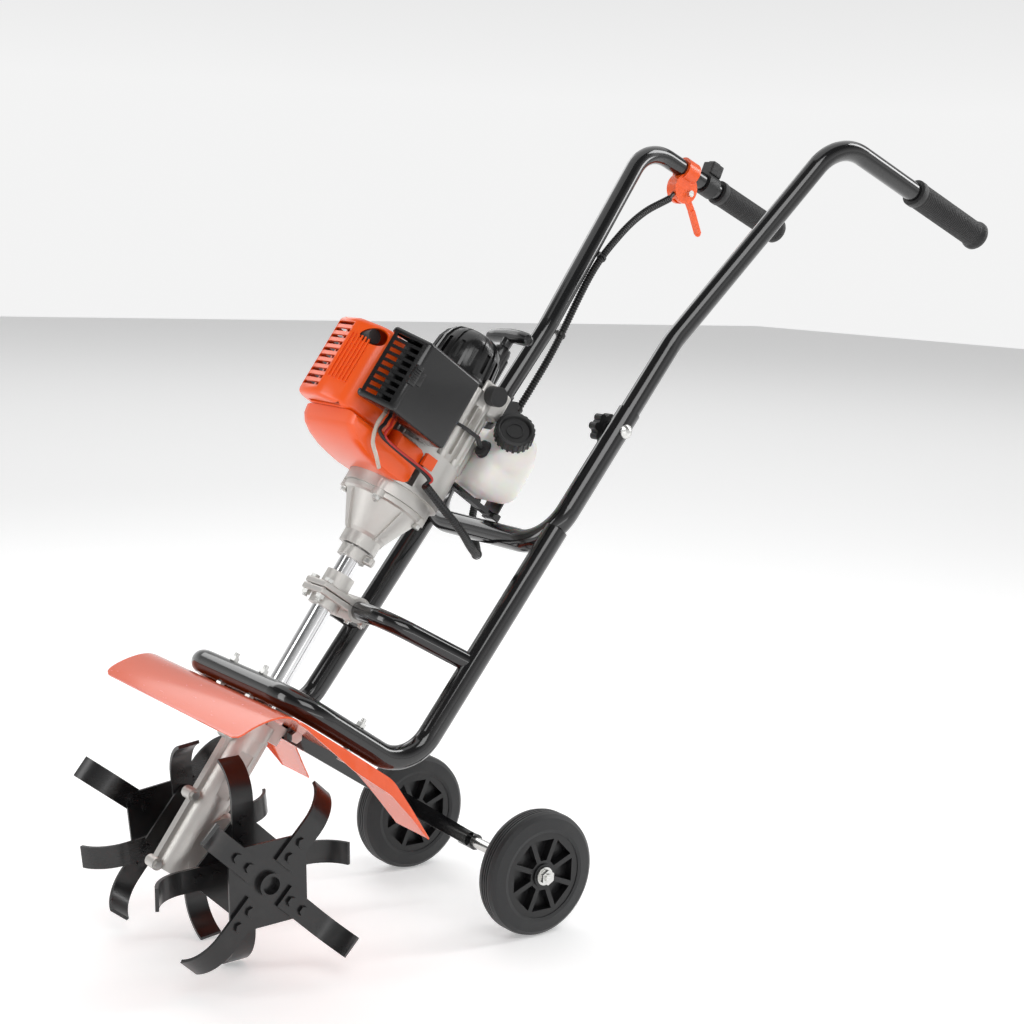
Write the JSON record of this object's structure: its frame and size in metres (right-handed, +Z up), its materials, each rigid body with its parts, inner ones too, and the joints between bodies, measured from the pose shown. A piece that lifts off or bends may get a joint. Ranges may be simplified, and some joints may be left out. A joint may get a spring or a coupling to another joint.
{
  "type": "mini cultivator",
  "caption": "Petrol mini cultivator: bent tube frame with handles, two wheels, engine on a slanted drive tube, worm gearbox, fender and bolted tines.",
  "frame": {"origin": "middle of the bounding box, on the ground", "axes": "+X forward towards the tines, +Y to the operator's left, +Z up"},
  "size_m": [1.132, 0.4102, 0.9552],
  "materials": {
    "black_frame_paint": "gloss black enamel",
    "tine_paint": "semi-gloss black paint",
    "orange_paint": "gloss orange enamel",
    "orange_plastic": "gloss orange moulding",
    "black_plastic": "fine-textured moulding",
    "black_gloss_plastic": "gloss moulding",
    "cast_aluminium": "as cast, blasted",
    "bright_tube": "bright drawn tube",
    "zinc": "bright zinc plate",
    "steel": "machined",
    "bronze": "machined",
    "rubber": "matt moulded",
    "tyre_rubber": "matt",
    "wheel_plastic": "gloss moulding",
    "tank_plastic": "translucent natural moulding",
    "filter_foam": "foam",
    "cable_plastic": "corrugated sleeve"
  },
  "bodies": {
    "root": {"lower_frame": "black_frame_paint", "upper_frame": "black_frame_paint", "shaft_crossbar": "black_frame_paint", "handle_bar_left": "black_frame_paint", "handle_bar_right": "black_frame_paint", "handle_grips": "rubber", "fender": "orange_paint", "wheel_arm": "black_frame_paint", "wheel_axle": "zinc", "frame_bolts": "zinc", "engine_screws": "zinc", "gearbox_left": "cast_aluminium", "gearbox_right": "cast_aluminium", "shaft_bearings": "steel", "drive_tube": "bright_tube", "shaft_clamp_upper": "cast_aluminium", "shaft_clamp_lower": "cast_aluminium", "tube_collar": "cast_aluminium", "clutch_housing": "cast_aluminium", "crankcase": "cast_aluminium", "cylinder": "cast_aluminium", "spark_plug": "steel", "spark_plug_boot": "rubber", "cylinder_cover": "orange_plastic", "fan_cover": "orange_plastic", "filter_cover": "black_gloss_plastic", "filter_element": "filter_foam", "carburettor": "cast_aluminium", "muffler": "steel", "muffler_guard": "black_plastic", "starter_base": "cast_aluminium", "starter_dome": "black_gloss_plastic", "tank_buffer": "rubber", "fuel_tank": "tank_plastic", "fuel_lines": "rubber", "tank_guard": "black_frame_paint", "throttle_pod": "orange_plastic", "switch_block": "black_plastic", "cable_sleeve": "cable_plastic"},
    "wheel_left": {"tyre_left": "tyre_rubber", "wheel_hub_left": "wheel_plastic"},
    "wheel_right": {"tyre_right": "tyre_rubber", "wheel_hub_right": "wheel_plastic"},
    "tine_rotor": {"tine_rotors": "tine_paint", "tine_blades": "tine_paint", "tine_bolts": "tine_paint", "tine_shaft": "steel", "worm_wheel": "bronze"},
    "drive_line": {"drive_shaft": "steel", "clutch_drum": "steel"},
    "crank": {"crankshaft": "steel", "flywheel": "cast_aluminium", "clutch_shoes": "steel"},
    "pull_handle": {"starter_handle": "black_gloss_plastic"},
    "recoil_reel": {"recoil_pulley": "black_plastic"},
    "lever": {"throttle_lever": "orange_plastic"},
    "rocker": {"switch_rocker": "black_plastic"},
    "cap": {"fuel_cap": "black_plastic"},
    "knob_left": {"clamp_knob_left": "black_plastic"},
    "knob_right": {"clamp_knob_right": "black_plastic"}
  },
  "joints": [
    {"name": "wheel_left_spin", "type": "hinge", "parent": "root", "child": "wheel_left", "pos_m": [0.09208, 0.136, 0.075], "axis": [0, 1, 0], "continuous": true},
    {"name": "wheel_right_spin", "type": "hinge", "parent": "root", "child": "wheel_right", "pos_m": [0.09208, -0.136, 0.075], "axis": [0, 1, 0], "continuous": true},
    {"name": "tine_spin", "type": "hinge", "parent": "root", "child": "tine_rotor", "pos_m": [0.44608, 0, 0.11993], "axis": [0, 1, 0], "continuous": true},
    {"name": "drive_spin", "type": "hinge", "parent": "root", "child": "drive_line", "pos_m": [0.27948, 0, 0.4416], "axis": [-0.5525, 0, 0.8335], "continuous": true},
    {"name": "crank_spin", "type": "hinge", "parent": "root", "child": "crank", "pos_m": [0.21318, 0, 0.54162], "axis": [-0.5525, 0, 0.8335], "continuous": true},
    {"name": "starter_pull", "type": "slide", "parent": "root", "child": "pull_handle", "axis": [-0.5525, 0, 0.8335], "range_m": [0, 0.6], "stiffness_N_per_m": 20, "springref_m": -0.25},
    {"name": "reel_spin", "type": "hinge", "parent": "root", "child": "recoil_reel", "pos_m": [0.13251, 0, 0.66331], "axis": [-0.5525, 0, 0.8335], "range_deg": [0, 1380]},
    {"name": "throttle_squeeze", "type": "hinge", "parent": "root", "child": "lever", "pos_m": [-0.36915, -0.18176, 0.89285], "axis": [-0.0231, 0.9997, 0], "range_deg": [0, 28], "stiffness_Nm_per_rad": 0.3, "springref_deg": -22.92},
    {"name": "switch_rock", "type": "hinge", "parent": "root", "child": "rocker", "pos_m": [-0.4226, -0.183, 0.93431], "axis": [0.0231, -0.9997, 0], "range_deg": [-12, 12]},
    {"name": "cap_turn", "type": "hinge", "parent": "root", "child": "cap", "pos_m": [0.10183, 0.072, 0.59738], "axis": [0.3435, 0.7015, 0.6245], "continuous": true},
    {"name": "knob_left_turn", "type": "hinge", "parent": "root", "child": "knob_left", "pos_m": [-0.0097, 0.1, 0.59832], "axis": [0, 1, 0], "continuous": true},
    {"name": "knob_right_turn", "type": "hinge", "parent": "root", "child": "knob_right", "pos_m": [-0.0097, -0.1, 0.59832], "axis": [0, 1, 0], "continuous": true}
  ],
  "couplings": [
    {"joint": "drive_spin", "follows": "tine_spin", "ratio": 30},
    {"joint": "reel_spin", "follows": "starter_pull", "rad_per_m": 40}
  ]
}
